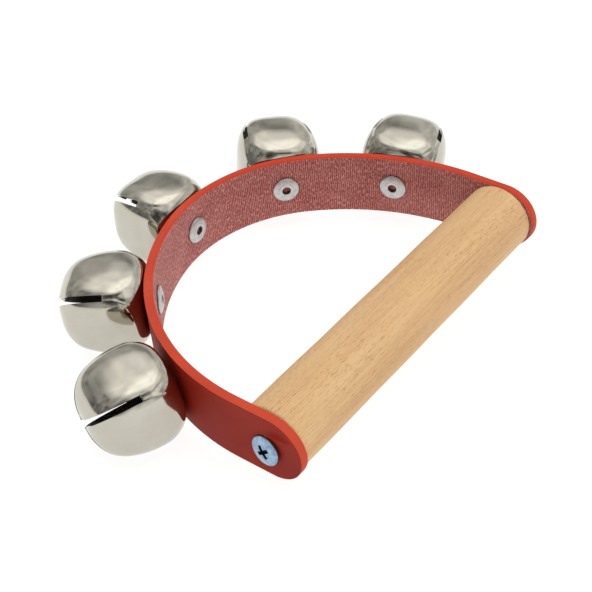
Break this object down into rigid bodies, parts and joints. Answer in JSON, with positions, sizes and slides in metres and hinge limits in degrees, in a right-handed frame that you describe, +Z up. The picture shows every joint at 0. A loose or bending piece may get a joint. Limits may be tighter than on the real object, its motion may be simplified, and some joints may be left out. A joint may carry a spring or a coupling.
{
  "type": "hand sleigh bells",
  "caption": "Hand-held sleigh bells: a round wooden handle across a D-shaped strap that carries riveted, cross-slit metal jingle bells round its outside.",
  "frame": {"origin": "bottom centre of the whole box, with the instrument lying flat on its bells", "axes": "+X along the handle, +Y from the handle towards the middle bell, +Z up out of the plane of the D"},
  "size_m": [0.167, 0.1198, 0.0308],
  "materials": {
    "beech": "fine-sanded, clear matt",
    "strap_skin": "smooth, semi-matt",
    "woven_backing": "plain weave",
    "zinc_screw": "bright blue zinc",
    "nickel": "polished nickel plate",
    "rivet_metal": "satin nickel plate",
    "ball_steel": "plain steel"
  },
  "bodies": {
    "frame": {"handle_dowel": "beech", "strap": "strap_skin", "strap_lining": "woven_backing", "end_screw_left": "zinc_screw", "end_screw_right": "zinc_screw", "bell_rivet_1": "rivet_metal", "rivet_washer_1": "rivet_metal", "bell_rivet_2": "rivet_metal", "rivet_washer_2": "rivet_metal", "bell_rivet_3": "rivet_metal", "rivet_washer_3": "rivet_metal", "bell_rivet_4": "rivet_metal", "rivet_washer_4": "rivet_metal", "bell_rivet_5": "rivet_metal", "rivet_washer_5": "rivet_metal"},
    "bell_1": {"bell_shell_1": "nickel"},
    "ball_1": {"pellet_1": "ball_steel"},
    "bell_2": {"bell_shell_2": "nickel"},
    "ball_2": {"pellet_2": "ball_steel"},
    "bell_3": {"bell_shell_3": "nickel"},
    "ball_3": {"pellet_3": "ball_steel"},
    "bell_4": {"bell_shell_4": "nickel"},
    "ball_4": {"pellet_4": "ball_steel"},
    "bell_5": {"bell_shell_5": "nickel"},
    "ball_5": {"pellet_5": "ball_steel"}
  },
  "joints": [
    {"name": "bell_1_swivel", "type": "hinge", "parent": "frame", "child": "bell_1", "pos_m": [-0.05589, -0.00967, 0.01512], "axis": [-0.9219, 0.3875, 0], "continuous": true},
    {"name": "ball_1_rattle", "type": "slide", "parent": "bell_1", "child": "ball_1", "axis": [-0.1039, -0.0223, 0.9943], "range_m": [0, 0.0175]},
    {"name": "bell_2_swivel", "type": "hinge", "parent": "frame", "child": "bell_2", "pos_m": [-0.03323, 0.01946, 0.01512], "axis": [-0.6022, 0.7983, 0], "continuous": true},
    {"name": "ball_2_rattle", "type": "slide", "parent": "bell_2", "child": "ball_2", "axis": [-0.0139, -0.0105, 0.9998], "range_m": [0, 0.0175]},
    {"name": "bell_3_swivel", "type": "hinge", "parent": "frame", "child": "bell_3", "pos_m": [0.00113, 0.03298, 0.01512], "axis": [-0.0594, 0.9982, 0], "continuous": true},
    {"name": "ball_3_rattle", "type": "slide", "parent": "bell_3", "child": "ball_3", "axis": [0.0696, 0.0041, 0.9976], "range_m": [0, 0.0175]},
    {"name": "bell_4_swivel", "type": "hinge", "parent": "frame", "child": "bell_4", "pos_m": [0.03597, 0.02127, 0.01512], "axis": [0.6502, 0.7598, 0], "continuous": true},
    {"name": "ball_4_rattle", "type": "slide", "parent": "bell_4", "child": "ball_4", "axis": [0.0119, -0.1591, 0.9872], "range_m": [0, 0.0175]},
    {"name": "bell_5_swivel", "type": "hinge", "parent": "frame", "child": "bell_5", "pos_m": [0.05632, -0.00957, 0.01512], "axis": [0.9401, 0.3409, 0], "continuous": true},
    {"name": "ball_5_rattle", "type": "slide", "parent": "bell_5", "child": "ball_5", "axis": [-0.0107, -0.1241, 0.9922], "range_m": [0, 0.0175]}
  ]
}
